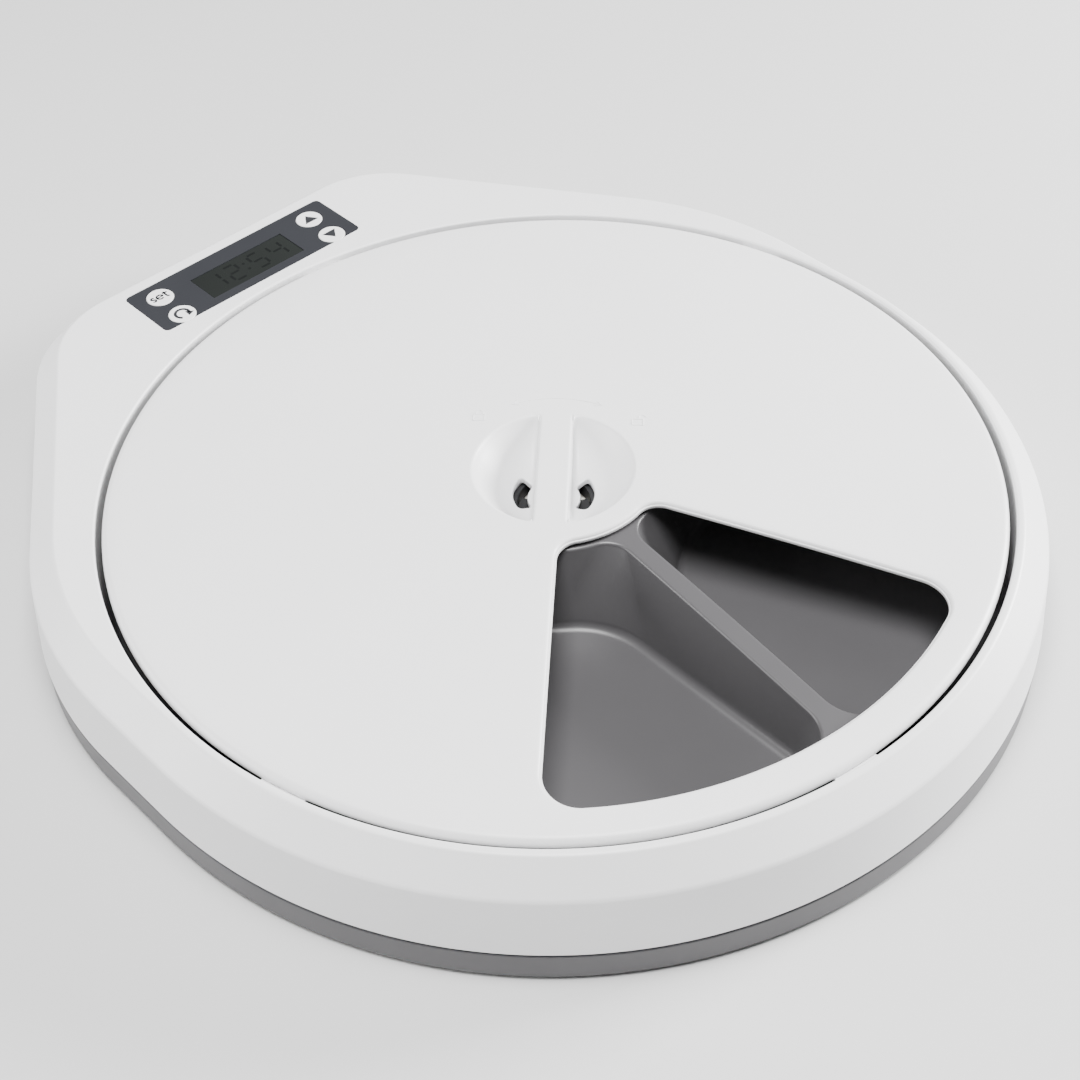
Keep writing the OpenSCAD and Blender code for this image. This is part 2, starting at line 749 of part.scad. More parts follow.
module button(x, y) {
    translate([x * button_x, button_y + y * button_dy, 0]) {
        disc(button_r, deck_under_z - 0.6, top_z + button_proud);
        disc(button_r + 1, deck_under_z - 1.4, deck_under_z - 0.4);
        disc(2.5, board_z + board_t + 4.6, deck_under_z - 1);
    }
}

module set_button() {
    color("white") button(-1, 1);
}

module feed_button() {
    color("white") button(-1, -1);
}

module up_button() {
    color("white") button(1, 1);
}

module down_button() {
    color("white") button(1, -1);
}

upper_housing();
lower_base();
rubber_feet();
housing_screws();
battery_box();
battery_cells();
battery_contacts();
battery_door();
gearbox_case();
gearbox_cover();
gearbox_screws();
centre_post();
post_screw();
drive_motor();
motor_shaft();
motor_pinion();
reduction_axle();
reduction_gear();
drive_hub();
food_tray();
index_magnets();
index_sensor();
lock_ring();
lid();
panel_overlay();
lcd_window();
lcd_module();
lcd_holder();
control_board();
board_screws();
tact_switches();
ribbon_cable();
set_button();
feed_button();
up_button();
down_button();
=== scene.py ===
"""Looks of the automatic pet feeder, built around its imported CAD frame.

Shapes are worked out in millimetres, in the CAD frame: the origin is on the table below the
tray's axis, +Y points to the control panel and +Z up. Meshes are stored in metres.
"""

import math

import bmesh
import bpy
import numpy as np
from mathutils import Matrix, Vector, geometry


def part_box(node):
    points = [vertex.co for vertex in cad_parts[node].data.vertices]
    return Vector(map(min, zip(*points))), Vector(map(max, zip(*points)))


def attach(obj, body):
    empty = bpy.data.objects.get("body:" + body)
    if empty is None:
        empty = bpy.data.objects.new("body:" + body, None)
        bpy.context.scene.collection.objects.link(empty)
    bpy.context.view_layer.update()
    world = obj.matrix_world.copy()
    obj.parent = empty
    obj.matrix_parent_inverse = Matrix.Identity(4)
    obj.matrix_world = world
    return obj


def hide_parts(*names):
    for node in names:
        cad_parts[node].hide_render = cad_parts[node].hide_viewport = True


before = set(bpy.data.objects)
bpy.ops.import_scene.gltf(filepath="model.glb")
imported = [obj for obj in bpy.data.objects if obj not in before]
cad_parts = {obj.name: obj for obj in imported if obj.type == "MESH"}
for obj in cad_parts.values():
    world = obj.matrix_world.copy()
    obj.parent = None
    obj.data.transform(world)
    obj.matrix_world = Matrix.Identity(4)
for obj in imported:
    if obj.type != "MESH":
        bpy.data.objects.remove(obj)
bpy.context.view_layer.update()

MM = 0.001


def box_mm(node):
    """Lowest and highest corner of a CAD node, in millimetres."""
    low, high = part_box(node)
    return low / MM, high / MM


# Driving sizes, read from the frame
HOUSING = box_mm("upper_housing")
BASE = box_mm("lower_base")
LID = box_mm("lid")
TRAY = box_mm("food_tray")
OVERLAY = box_mm("panel_overlay")
WINDOW = box_mm("lcd_window")
DOOR = box_mm("battery_door")
FEET = box_mm("rubber_feet")

TOP_Z = OVERLAY[1].z
SKIRT_R = HOUSING[1].x
LID_R = LID[1].x
LID_TOP_Z = LID[1].z
TRAY_R = TRAY[1].x
TRAY_BOTTOM_Z = TRAY[0].z
BASE_BOTTOM_Z = BASE[0].z
BASE_GROW = BASE[1].x - SKIRT_R

# Directions a rounding or the body's outline is drawn at, in degrees
EDGE_STEPS = (0, 15, 30, 45, 60, 75, 90)
BODY_ANGLES = np.arange(0, 360, 0.5)

# Body
SKIRT_FLARE = 1.8
BEVEL_W = 9.2
SEAM_Z = 12.6
SEAM_GAP = 1.0
CREASE_Z = 35.5
WALL = 2.5
SKIRT_WALL = 2.6
LIP_GAP = 2.0
LIP_WALL = 2.2
BODY_R = SKIRT_R - SKIRT_FLARE
BACK_Y = HOUSING[1].y - SKIRT_FLARE
SHOULDER_R = 128.0
SHOULDER_Y = 30.3
SLANT_DIR = 34.1
BACK_CORNER_R = 45.7
SLANT_COS = math.cos(math.radians(SLANT_DIR))
SLANT_SIN = math.sin(math.radians(SLANT_DIR))
SLANT_REACH = (BODY_R - SHOULDER_R) * SLANT_COS + SHOULDER_Y * SLANT_SIN + SHOULDER_R
BACK_CORNER_X = (SLANT_REACH - BACK_CORNER_R - (BACK_Y - BACK_CORNER_R) * SLANT_SIN) / SLANT_COS

# Lid
LID_T = 2.6
LID_RIM_Z = TOP_Z - LID_T - 0.6
LID_RIM_W = 2.0
DOME_RISE = LID_TOP_Z - TOP_Z
BOWL_R = 26.8
BOWL_DEPTH = 15.0
BOWL_BALL_R = (BOWL_R**2 + BOWL_DEPTH**2) / (2 * BOWL_DEPTH)
BOWL_BALL_Z = LID_TOP_Z - BOWL_DEPTH + BOWL_BALL_R
BOWL_WALL = 2.5
BOWL_ZONE_R = 34.0
GRIP_DIR = 44.0
GRIP_HALF_W = 5.5
GRIP_EDGE_R = 0.9
GRIP_WALL_OUT = 6.0
GRIP_FOOT_R = 2.2
SLOT_IN_R = 8.8
SLOT_OUT_R = 13.6
SLOT_HALF = 35.0
SLOT_CORNER_R = 1.3
OPENING_DIR = -101.1
OPENING_HALF = 35.5
OPENING_OUT_R = 136.3
COLLAR_R = 34.6
OPENING_INSET = 3.2
OPENING_OUT_CORNER_R = 11
OPENING_IN_CORNER_R = 8
OPENING_STEP = 0.4
TAB_DIRS = (-165, -98, 15, 82)
TAB_ANGLE = 6.0

# Tray
COMPARTMENTS = 5
DIVIDER_DIR = -95.3
POCKET_HALF = 180.0 / COMPARTMENTS
POCKET_OUT_R = 139.5
POCKET_IN_R = 35.6
DIVIDER_HALF_W = 3.6
POCKET_OUT_DRAFT = 2.5
POCKET_IN_DRAFT = 8.0
POCKET_OUT_CORNER_R = 14
POCKET_IN_CORNER_R = 9
FOOT_CORNER_GROWTH = 22
FOOT_TURN = 5.0
DIVIDER_FOOT_W = 11.6
TRAY_GAP = 1.2
POCKET_FLOOR_Z = TRAY_BOTTOM_Z + 2.0
HUB_R = 29.5
WEB_Z = 26.5
WEB_TOP_Z = 29
WEB_HOLE_R = 15.2

# Control panel and fixings
WINDOW_W = 42.0
WINDOW_D = 15.0
BUTTON_R = 5.1
FOOT_RECESS_R = 8.1
SCREW_RECESS_R = 2.5
SEGMENTS = {"1": "bc", "2": "abged", "5": "afgcd", "4": "fgbc"}


# ---------------------------------------------------------------- outlines


def polar(r, a):
    """Point at radius r and angle a in degrees."""
    return np.array([r * math.cos(math.radians(a)), r * math.sin(math.radians(a))])


def arc(centre, r, a0, a1, n, last=True):
    """Points along an arc, with or without its last end."""
    steps = n + 1 if last else n
    return [np.array(centre) + polar(r, a0 + (a1 - a0) * i / n) for i in range(steps)]


def between(start, end, n):
    """Evenly spaced points between two points, without the two."""
    return [start + (end - start) * k / (n + 1) for k in range(1, n + 1)]


def wedge(out_r, in_r, half, side, out_corner, in_corner, n=10):
    """A wedge about +X with rounded corners, its inner end hollowed by a circle about the axis.

    Its straight sides lie half degrees either way, each moved in by side.
    """
    out_dir = half - math.degrees(math.asin((side + out_corner) / (out_r - out_corner)))
    in_dir = half - math.degrees(math.asin((side + in_corner) / (in_r + in_corner)))
    out_at, in_at = out_r - out_corner, in_r + in_corner
    outer = arc(polar(out_at, out_dir), out_corner, out_dir, half + 90, n)
    inner = arc(polar(in_at, in_dir), in_corner, half + 90, 180 + in_dir, n, last=False)
    inner_back = arc(polar(in_at, -in_dir), in_corner, 180 - in_dir, 270 - half, n)
    outer_back = arc(polar(out_at, -out_dir), out_corner, -half - 90, -out_dir, n, last=False)
    return (
        arc((0, 0), out_r, 0, out_dir, 2 * n, last=False)
        + outer
        + between(outer[-1], inner[0], n)
        + inner
        + arc((0, 0), in_r, in_dir, -in_dir, 2 * n, last=False)
        + inner_back
        + between(inner_back[-1], outer_back[0], n)
        + outer_back
        + arc((0, 0), out_r, -out_dir, 0, 2 * n, last=False)
    )


def footprint(g):
    """The body's outline, grown outwards by g, as closely spaced points."""
    points = (
        arc((0, 0), BODY_R + g, -180, 0, 360)
        + arc((BODY_R - SHOULDER_R, SHOULDER_Y), SHOULDER_R + g, 0, SLANT_DIR, 40)
        + arc((BACK_CORNER_X, BACK_Y - BACK_CORNER_R), BACK_CORNER_R + g, SLANT_DIR, 90, 40)
    )
    right_back = points[361:]
    points += [np.array([-p[0], p[1]]) for p in reversed(right_back)]
    return np.array(points)


def radii(points, angles):
    """Where rays from the axis at these angles cross a closed convex outline."""
    edge = np.roll(points, -1, axis=0) - points
    found = np.zeros(len(angles))
    for k, a in enumerate(np.radians(angles)):
        d = np.array([math.cos(a), math.sin(a)])
        cross = edge[:, 0] * d[1] - edge[:, 1] * d[0]
        cross = np.where(np.abs(cross) < 1e-9, 1e-9, cross)
        along = (points[:, 1] * edge[:, 0] - points[:, 0] * edge[:, 1]) / cross
        share = (points[:, 1] * d[0] - points[:, 0] * d[1]) / cross
        hit = (along > 0) & (share >= -1e-6) & (share <= 1 + 1e-6)
        found[k] = along[hit].min()
    return found


def turned(points, degrees):
    """Points turned about the axis."""
    a = math.radians(degrees)
    c, s = math.cos(a), math.sin(a)
    return [np.array([c * p[0] - s * p[1], s * p[0] + c * p[1]]) for p in points]


def inside(points, polygon):
    """Which of an array of points lie in a polygon."""
    x, y = points[:, 0], points[:, 1]
    odd = np.zeros(len(points), bool)
    ring = np.array([p[:2] for p in polygon])
    nxt = np.roll(ring, -1, axis=0)
    for (x0, y0), (x1, y1) in zip(ring, nxt):
        crosses = (y0 > y) != (y1 > y)
        with np.errstate(divide="ignore", invalid="ignore"):
            odd ^= crosses & (x < (x1 - x0) * (y - y0) / (y1 - y0) + x0)
    return odd


# ---------------------------------------------------------------- meshes


def new_piece(name, verts, faces, material, body, smooth_angle=35.0):
    """Mesh object from points in millimetres, on one CAD body, shaded smooth below an edge angle."""
    mesh = bpy.data.meshes.new(name)
    mesh.from_pydata([tuple(np.array(v, float) * MM) for v in verts], [], faces)
    mesh.validate()
    obj = bpy.data.objects.new(name, mesh)
    bpy.context.scene.collection.objects.link(obj)
    tidy = bmesh.new()
    tidy.from_mesh(mesh)
    bmesh.ops.remove_doubles(tidy, verts=tidy.verts, dist=1e-6)
    bmesh.ops.recalc_face_normals(tidy, faces=tidy.faces)
    tidy.to_mesh(mesh)
    tidy.free()
    shade(obj, smooth_angle)
    mesh.materials.append(material)
    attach(obj, body)
    return obj


def shade(obj, angle):
    """Smooth shading, with edges over this angle kept sharp."""
    obj.data.polygons.foreach_set("use_smooth", [True] * len(obj.data.polygons))
    obj.data.set_sharp_from_angle(angle=math.radians(angle))


def drop_loose(obj):
    """Takes away points that no face uses."""
    mesh = bmesh.new()
    mesh.from_mesh(obj.data)
    bmesh.ops.delete(mesh, geom=[v for v in mesh.verts if not v.link_faces], context="VERTS")
    mesh.to_mesh(obj.data)
    mesh.free()


def weighted(obj):
    """Lets large flat faces decide the shading next to small roundings."""
    modifier = obj.modifiers.new("weighted", "WEIGHTED_NORMAL")
    modifier.keep_sharp = True
    modifier.weight = 90


def middles(points, tris):
    """Middle of each triangle, seen from above."""
    return np.array([[sum(points[i][k] for i in t) / 3 for k in (0, 1)] for t in tris])


def ring_faces(rows, n, wrap=False):
    """Quads between consecutive rings of n points each."""
    faces = []
    for k in range(rows if wrap else rows - 1):
        a, b = k * n, ((k + 1) % rows) * n
        for i in range(n):
            j = (i + 1) % n
            faces.append((a + i, a + j, b + j, b + i))
    return faces


def capped_faces(rows, n):
    """Quads between consecutive rings of n points each, with the first and last ring closed."""
    last = (rows - 1) * n
    return ring_faces(rows, n) + [tuple(range(n))[::-1], tuple(range(last, last + n))]


def lathe(profile, n, wrap=True, centre=(0, 0)):
    """Rings and faces of a profile of (r, z) turned about a vertical axis; an open one is capped."""
    verts = []
    for r, z in profile:
        ring = arc(centre, r, 0, 360, n, last=False)
        verts += [(p[0], p[1], z) for p in ring]
    rows = len(profile)
    return verts, ring_faces(rows, n, wrap=True) if wrap else capped_faces(rows, n)


def rounded(corner, before, after, r, n=5):
    """Points that round a profile's corner, between its neighbours, with radius r."""
    c, p, q = (np.array(v, float) for v in (corner, before, after))
    u, v = (p - c) / np.linalg.norm(p - c), (q - c) / np.linalg.norm(q - c)
    half = math.acos(float(np.clip(u @ v, -1, 1))) / 2
    reach = r / math.tan(half)
    middle = c + (u + v) / np.linalg.norm(u + v) * r / math.sin(half)
    start, end = c + u * reach - middle, c + v * reach - middle
    a0 = math.atan2(start[1], start[0])
    turn = (math.atan2(end[1], end[0]) - a0 + math.pi) % (2 * math.pi) - math.pi
    steps = [a0 + turn * i / n for i in range(n + 1)]
    return [tuple(middle + r * np.array([math.cos(a), math.sin(a)])) for a in steps]


def round_profile(corners):
    """A closed profile from (r, z, corner radius) entries."""
    out = []
    for k, (x, z, r) in enumerate(corners):
        before, after = corners[k - 1][:2], corners[(k + 1) % len(corners)][:2]
        out += [(x, z)] if r == 0 else rounded((x, z), before, after, r)
    return out


def cut(obj, cutters):
    """Takes closed cutter meshes out of a piece and keeps the result as its mesh."""
    for tool in cutters:
        modifier = obj.modifiers.new("cut", "BOOLEAN")
        modifier.operation = "DIFFERENCE"
        modifier.solver = "EXACT"
        modifier.object = tool
    graph = bpy.context.evaluated_depsgraph_get()
    result = bpy.data.meshes.new_from_object(obj.evaluated_get(graph))
    obj.modifiers.clear()
    obj.data = result
    for tool in cutters:
        bpy.data.objects.remove(tool)
    shade(obj, 35)


def cutter(outline, z0, z1):
    """Closed prism to cut with, from an outline in millimetres."""
    n = len(outline)
    verts = [(p[0], p[1], z) for z in (z0, z1) for p in outline]
    mesh = bpy.data.meshes.new("cutter")
    mesh.from_pydata([tuple(np.array(v) * MM) for v in verts], [], capped_faces(2, n))
    obj = bpy.data.objects.new("cutter", mesh)
    bpy.context.scene.collection.objects.link(obj)
    return obj


def round_rect(x, y, w, d, r, n=6):
    """Outline of a rectangle with rounded corners, about (x, y)."""
    points = []
    for k, (sx, sy) in enumerate(((1, 1), (-1, 1), (-1, -1), (1, -1))):
        centre = (x + sx * (w / 2 - r), y + sy * (d / 2 - r))
        points += arc(centre, r, 90 * k, 90 * k + 90, n)
    return points


def circle(x, y, r, n=64):
    """Outline of a circle about (x, y)."""
    return arc((x, y), r, 0, 360, n, last=False)


# ---------------------------------------------------------------- materials


def plastic(name, colour, roughness, grain=0.02, grain_scale=2500.0, spread=0.03, coat=0.0, ripple=0.0):
    """Moulded plastic: slight colour drift, uneven gloss, fine mould texture and faint flow ripples."""
    material = bpy.data.materials.new(name)
    material.use_nodes = True
    nodes, links = material.node_tree.nodes, material.node_tree.links
    shader = nodes["Principled BSDF"]
    shader.inputs["IOR"].default_value = 1.5
    shader.inputs["Coat Weight"].default_value = coat
    shader.inputs["Coat Roughness"].default_value = 0.12
    where = nodes.new("ShaderNodeTexCoord")

    drift = nodes.new("ShaderNodeTexNoise")
    drift.inputs["Scale"].default_value = 18
    drift.inputs["Detail"].default_value = 4
    links.new(where.outputs["Object"], drift.inputs["Vector"])
    tint = nodes.new("ShaderNodeValToRGB")
    tint.color_ramp.elements[0].position = 0.3
    tint.color_ramp.elements[1].position = 0.7
    tint.color_ramp.elements[0].color = [c * (1 - spread) for c in colour] + [1]
    tint.color_ramp.elements[1].color = [min(1, c * (1 + spread)) for c in colour] + [1]
    links.new(drift.outputs["Fac"], tint.inputs["Fac"])
    links.new(tint.outputs["Color"], shader.inputs["Base Color"])

    wipe = nodes.new("ShaderNodeTexNoise")
    wipe.inputs["Scale"].default_value = 45
    wipe.inputs["Detail"].default_value = 6
    links.new(where.outputs["Object"], wipe.inputs["Vector"])
    gloss = nodes.new("ShaderNodeMapRange")
    gloss.inputs["To Min"].default_value = max(0.03, roughness - 0.05)
    gloss.inputs["To Max"].default_value = roughness + 0.07
    links.new(wipe.outputs["Fac"], gloss.inputs["Value"])
    links.new(gloss.outputs["Result"], shader.inputs["Roughness"])

    texture = nodes.new("ShaderNodeTexNoise")
    texture.inputs["Scale"].default_value = grain_scale
    texture.inputs["Detail"].default_value = 2
    links.new(where.outputs["Object"], texture.inputs["Vector"])
    bump = nodes.new("ShaderNodeBump")
    bump.inputs["Strength"].default_value = grain
    bump.inputs["Distance"].default_value = 0.0002
    links.new(texture.outputs["Fac"], bump.inputs["Height"])
    waves = nodes.new("ShaderNodeTexNoise")
    waves.inputs["Scale"].default_value = 30
    links.new(where.outputs["Object"], waves.inputs["Vector"])
    soft = nodes.new("ShaderNodeBump")
    soft.inputs["Strength"].default_value = ripple
    soft.inputs["Distance"].default_value = 0.001
    links.new(waves.outputs["Fac"], soft.inputs["Height"])
    links.new(soft.outputs["Normal"], bump.inputs["Normal"])
    links.new(bump.outputs["Normal"], shader.inputs["Normal"])
    return material


def metal(name, colour, roughness):
    """Plated or machined metal, with fine grain and uneven gloss."""
    material = plastic(name, colour, roughness, grain=0.05, grain_scale=900, spread=0.08)
    material.node_tree.nodes["Principled BSDF"].inputs["Metallic"].default_value = 1.0
    return material


WHITE = plastic("white_abs", (0.80, 0.80, 0.805), 0.36, grain=0.05, spread=0.012, ripple=0.012)
WHITE_CAP = plastic("button_cap", (0.82, 0.82, 0.82), 0.33, grain=0.03, spread=0.015)
BASE_GREY = plastic("base_grey", (0.075, 0.073, 0.077), 0.42, grain=0.10, spread=0.04, ripple=0.02)
TRAY_GREY = plastic("tray_grey", (0.070, 0.068, 0.071), 0.34, grain=0.06, spread=0.03, ripple=0.03)
OVERLAY_FILM = plastic("overlay_film", (0.018, 0.019, 0.023), 0.42, 0.15, grain_scale=4000, spread=0.05)
WINDOW_GLASS = plastic("window_glass", (0.010, 0.012, 0.011), 0.25, grain=0.0, spread=0.2)
DIGIT_INK = plastic("digit_ink", (0.003, 0.004, 0.004), 0.3, spread=0.1)
ICON_INK = plastic("icon_ink", (0.018, 0.019, 0.022), 0.45, spread=0.05)
RUBBER = plastic("rubber", (0.03, 0.03, 0.03), 0.75, grain=0.3, spread=0.15)
DARK = plastic("dark_plastic", (0.035, 0.035, 0.04), 0.5, grain=0.1, spread=0.08)
BLACK = plastic("black_acetal", (0.008, 0.008, 0.009), 0.6, grain=0.1, spread=0.1)
ACETAL = plastic("acetal", (0.70, 0.68, 0.62), 0.4, grain=0.03, spread=0.03)
BOARD = plastic("circuit_board", (0.02, 0.13, 0.06), 0.35, grain=0.1, spread=0.15)
WRAP = plastic("cell_wrap", (0.02, 0.09, 0.05), 0.25, spread=0.1, coat=0.5)
RIBBON = plastic("ribbon", (0.45, 0.45, 0.46), 0.5, grain=0.1, spread=0.05)
STEEL = metal("steel", (0.58, 0.58, 0.60), 0.32)
NICKEL = metal("nickel", (0.62, 0.60, 0.57), 0.22)

CAD_LOOKS = {
    "rubber_feet": RUBBER,
    "housing_screws": STEEL,
    "battery_box": DARK,
    "battery_cells": WRAP,
    "battery_contacts": NICKEL,
    "battery_door": BASE_GREY,
    "gearbox_case": DARK,
    "gearbox_cover": DARK,
    "gearbox_screws": STEEL,
    "centre_post": BLACK,
    "post_screw": STEEL,
    "drive_motor": STEEL,
    "motor_shaft": STEEL,
    "motor_pinion": ACETAL,
    "reduction_axle": STEEL,
    "reduction_gear": ACETAL,
    "drive_hub": ACETAL,
    "index_magnets": NICKEL,
    "index_sensor": BOARD,
    "lock_ring": BLACK,
    "panel_overlay": OVERLAY_FILM,
    "lcd_module": WINDOW_GLASS,
    "lcd_holder": WHITE,
    "control_board": BOARD,
    "board_screws": STEEL,
    "tact_switches": DARK,
    "ribbon_cable": RIBBON,
}


def dress_cad_nodes():
    """Gives each CAD node that stays in view its material."""
    for name, material in CAD_LOOKS.items():
        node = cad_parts[name]
        node.data.materials.clear()
        node.data.materials.append(material)


# ---------------------------------------------------------------- housing and base


def outline_ring(g, z, at_least=0.0):
    """Ring of the body's outline, grown by g, at height z."""
    r = np.maximum(radii(footprint(g), BODY_ANGLES), at_least)
    return [(*polar(ri, a), z) for ri, a in zip(r, BODY_ANGLES)]


def circle_ring(r, z):
    """Circle about the axis at height z, with a point in each of the body's directions."""
    return [(*polar(r, a), z) for a in BODY_ANGLES]


def housing():
    """White upper housing: skirt, bevel, flat deck, rounded lip and well, with the panel's openings."""
    lip_r = LID_R + LIP_GAP
    well_out_r = lip_r + LIP_WALL
    well_bottom_z = HOUSING[0].z
    deck_edge = -BEVEL_W - 2.0
    deck_under_z, deck_under_edge = TOP_Z - WALL, -BEVEL_W - 2.2
    crease_under_z, crease_under = CREASE_Z - 0.8, -2.7
    seam_r, crease_r, deck_r, lip_round_r = 0.5, 3.0, 2.0, 0.8
    outside = round_profile(
        [
            (SKIRT_FLARE - SKIRT_WALL, SEAM_Z, 0),
            (SKIRT_FLARE, SEAM_Z, seam_r),
            (0, CREASE_Z, crease_r),
            (-BEVEL_W, TOP_Z, deck_r),
            (deck_edge, TOP_Z, 0),
            (deck_edge, 0, 0),
        ]
    )[:-2]
    rings = [outline_ring(g, z) for g, z in outside]
    well = rounded((lip_r, TOP_Z), (lip_r + 5, TOP_Z), (lip_r, TOP_Z - 5), lip_round_r)
    well += [(lip_r, well_bottom_z), (well_out_r, well_bottom_z), (well_out_r, deck_under_z - 1)]
    rings += [circle_ring(r, z) for r, z in well]
    rings.append(outline_ring(deck_under_edge, deck_under_z, at_least=well_out_r + 0.3))
    rings.append(outline_ring(crease_under, crease_under_z))
    verts = [p for ring in rings for p in ring]
    faces = ring_faces(len(rings), len(BODY_ANGLES), wrap=True)
    shell = new_piece("housing_shell", verts, faces, WHITE, "root")

    film, size = (OVERLAY[0] + OVERLAY[1]) / 2, OVERLAY[1] - OVERLAY[0]
    glass = (WINDOW[0] + WINDOW[1]) / 2
    film_gap, glass_gap, button_gap = 0.3, 0.4, 0.25
    film_corner_r, glass_corner_r = 2.15, 0.5
    film_seat_z, below_z, above_z = OVERLAY[0].z - 0.02, 30, TOP_Z + 3
    film_cut = round_rect(film.x, film.y, size.x + film_gap, size.y + film_gap, film_corner_r)
    glass_cut = round_rect(glass.x, glass.y, WINDOW_W + glass_gap, WINDOW_D + glass_gap, glass_corner_r)
    cutters = [cutter(film_cut, film_seat_z, above_z), cutter(glass_cut, below_z, above_z)]
    for x, y in button_places().values():
        cutters.append(cutter(circle(x, y, BUTTON_R + button_gap), below_z, above_z))
    cut(shell, cutters)
    weighted(shell)
    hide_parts("upper_housing")


def lid_tabs():
    """Tabs in the well that the lid's edge rests on."""
    in_r, out_r = LID_R + LIP_GAP - 3, LID_R + LIP_GAP + 0.5
    tab_top_z = LID_RIM_Z - 0.2
    tab_low_z = tab_top_z - 2
    edge_r, steps = 0.4, 8
    tab = round_profile(
        [
            (in_r, tab_low_z, edge_r),
            (out_r, tab_low_z, 0),
            (out_r, tab_top_z, 0),
            (in_r, tab_top_z, edge_r),
        ]
    )
    for k, middle in enumerate(TAB_DIRS):
        verts = []
        for i in range(steps + 1):
            turn = polar(1, middle - TAB_ANGLE / 2 + TAB_ANGLE * i / steps)
            verts += [(turn[0] * r, turn[1] * r, z) for r, z in tab]
        faces = capped_faces(steps + 1, len(tab))
        new_piece(f"lid_tab_{k}", verts, faces, WHITE, "root")


def button_places():
    """Each button's middle, from its CAD node."""
    places = {}
    for key in ("set", "feed", "up", "down"):
        low, high = box_mm(key + "_button")
        places[key] = ((low.x + high.x) / 2, (low.y + high.y) / 2)
    return places


def base():
    """Grey base: rounded lower edge, band, seam shoulder and tongue, with the recesses under it."""
    band_out, band_top_z = BASE_GROW + SKIRT_FLARE, SEAM_Z - SEAM_GAP
    tongue_out, tongue_in, tongue_top_z = -1.4, -2.6, BASE[1].z
    floor_out, floor_in, floor_top_z = band_out - 12, -30, BASE_BOTTOM_Z + WALL
    low_edge_r, band_edge_r, tongue_edge_r = 0.9, 0.4, 0.3
    profile = round_profile(
        [
            (floor_out, BASE_BOTTOM_Z, 0),
            (band_out, BASE_BOTTOM_Z, low_edge_r),
            (band_out, band_top_z, band_edge_r),
            (tongue_out, band_top_z, 0),
            (tongue_out, tongue_top_z, tongue_edge_r),
            (tongue_in, tongue_top_z, tongue_edge_r),
            (tongue_in, floor_top_z, 0),
            (floor_in, floor_top_z, 0),
            (floor_in, BASE_BOTTOM_Z - 5, 0),
        ]
    )[:-1]
    rings = [outline_ring(g, z) for g, z in profile]
    verts = [p for ring in rings for p in ring]
    faces = capped_faces(len(rings), len(BODY_ANGLES))
    shell = new_piece("base_shell", verts, faces, BASE_GREY, "root")

    low, high = DOOR
    middle, size = (low + high) / 2, high - low
    door_gap, rim_w, rim_d, corner_r = 0.4, 4.2, 3.8, 0.3
    under_z = -5
    recess = round_rect(middle.x, middle.y, size.x + door_gap, size.y + door_gap, corner_r)
    opening = round_rect(middle.x, middle.y, size.x - rim_w, size.y - rim_d, corner_r)
    cutters = [cutter(recess, under_z, high.z + 0.1), cutter(opening, under_z, BASE_BOTTOM_Z + 4)]
    for x, y in foot_places():
        cutters.append(cutter(circle(x, y, FOOT_RECESS_R), under_z, FEET[1].z + 0.05))
    for x, y in screw_places():
        cutters.append(cutter(circle(x, y, SCREW_RECESS_R, 48), under_z, BASE_BOTTOM_Z + 5))
    cut(shell, cutters)
    weighted(shell)
    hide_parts("lower_base")


def screw_collars():
    """Collars on the base's floor that the housing screws' heads sit in."""
    out_r, shank_r = 3.1, 1.5
    foot_z, collar_top_z = BASE_BOTTOM_Z + 2.4, 9.0
    seat_z = box_mm("housing_screws")[0].z + 1.7
    collar = [(SCREW_RECESS_R, foot_z), (out_r, foot_z), (out_r, collar_top_z)]
    collar += [(shank_r, collar_top_z), (shank_r, seat_z), (SCREW_RECESS_R, seat_z)]
    for k, place in enumerate(screw_places()):
        verts, faces = lathe(collar, 48, centre=place)
        new_piece(f"screw_collar_{k}", verts, faces, BASE_GREY, "root")


def island_centres(node):
    """Middle of each separate solid in a CAD node, seen from above, in millimetres."""
    mesh = bmesh.new()
    mesh.from_mesh(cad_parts[node].data)
    bmesh.ops.remove_doubles(mesh, verts=mesh.verts, dist=1e-6)
    left, centres = set(mesh.verts), []
    while left:
        stack = [left.pop()]
        group = list(stack)
        while stack:
            for e in stack.pop().link_edges:
                for v in e.verts:
                    if v in left:
                        left.remove(v)
                        stack.append(v)
                        group.append(v)
        xs, ys = [v.co.x for v in group], [v.co.y for v in group]
        centres.append(((min(xs) + max(xs)) / 2 / MM, (min(ys) + max(ys)) / 2 / MM))
    mesh.free()
    return sorted((round(x, 2), round(y, 2)) for x, y in centres)


def foot_places():
    """Middle of each rubber foot."""
    return island_centres("rubber_feet")


def screw_places():
    """Middle of each housing screw."""
    return island_centres("housing_screws")


# ---------------------------------------------------------------- lid


def dome(r):
    """Height of the lid's dome at radius r."""
    return TOP_Z + DOME_RISE * (1 - (r / LID_R) ** 2)


def bowl(r, ball_r=BOWL_BALL_R):
    """Height of the finger bowl's ball surface at radius r."""
    reach = min(r, ball_r * 0.999)
    return BOWL_BALL_Z - math.sqrt(ball_r**2 - reach**2)


def quarter(r, t):
    """How far a rounding of radius r has dropped, t in from its start on the side."""
    return r - math.sqrt(max(0.0, r * r - (r - t) ** 2)) if t < r else 0.0


def blend_low(a, b, k):
    """The lower of two heights, with the crease between them rounded over k."""
    h = min(1.0, max(0.0, 0.5 + 0.5 * (b - a) / k))
    return b + (a - b) * h - k * h * (1 - h)


